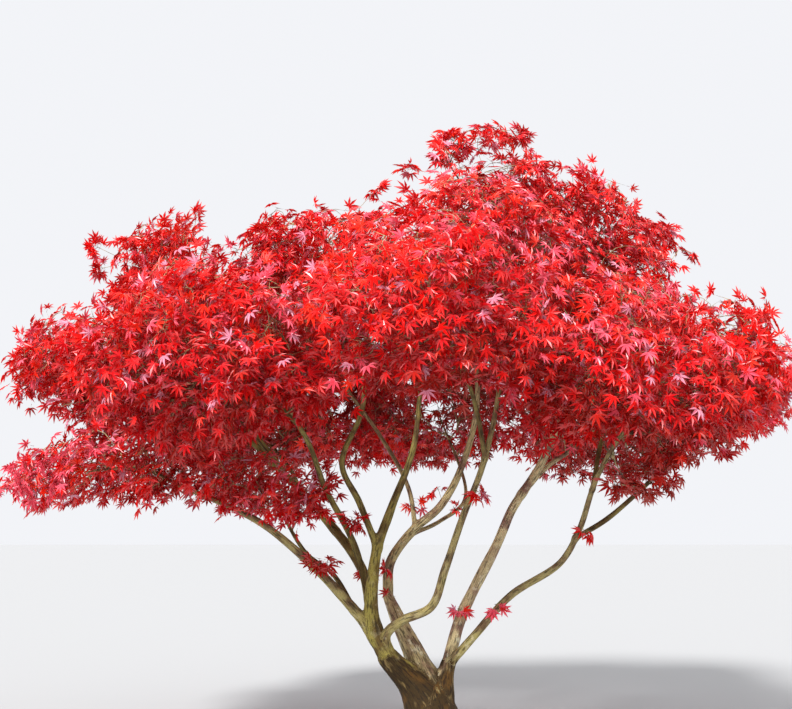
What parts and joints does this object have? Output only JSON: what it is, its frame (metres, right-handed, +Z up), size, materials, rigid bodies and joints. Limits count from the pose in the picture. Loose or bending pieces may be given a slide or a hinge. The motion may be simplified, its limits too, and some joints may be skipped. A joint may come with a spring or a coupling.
{
  "type": "japanese maple",
  "caption": "Red-leaved Japanese maple with a short, low-forking trunk, long curved boughs and a wide, domed crown of star-shaped leaves.",
  "frame": {"origin": "the middle of the flat cut under the trunk, at ground level", "axes": "+Z up the tree from the ground, +X along the crown's widest reach, to the right when the tree is seen from its front, -Y towards the front, the side that the picture shows"},
  "size_m": [3.9366, 3.1678, 3.2225],
  "materials": {
    "bark": "matt, smooth grey-brown bark",
    "foliage": "satin red leaves on thin twigs"
  },
  "bodies": {
    "root": {"trunk": "bark", "centre_bough": "bark", "back_bough": "bark", "right_bough": "bark", "left_low_bough": "bark", "left_inner_bough": "bark", "front_bough": "bark", "right_low_bough": "bark", "left_rising_bough": "bark", "centre_left_bough": "bark", "left_low_side_bough": "bark", "left_outer_bough": "bark", "left_back_bough": "bark", "front_branch": "bark", "back_left_bough": "bark", "back_low_bough": "bark", "right_back_bough": "bark", "right_back_branch": "bark", "right_branch": "bark", "right_reach_bough": "bark", "top_mass": "foliage", "hump_mass": "foliage", "upper_front_mass": "foliage", "right_top_mass": "foliage", "right_mid_mass": "foliage", "upper_back_mass": "foliage", "back_left_upper_mass": "foliage", "back_right_upper_mass": "foliage", "left_top_mass": "foliage", "left_tip_mass": "foliage", "left_droop_mass": "foliage", "left_low_mass": "foliage", "front_left_mass": "foliage", "front_mass": "foliage", "front_right_mass": "foliage", "right_tip_mass": "foliage", "back_left_mass": "foliage", "back_mass": "foliage", "back_right_mass": "foliage"}
  },
  "joints": []
}
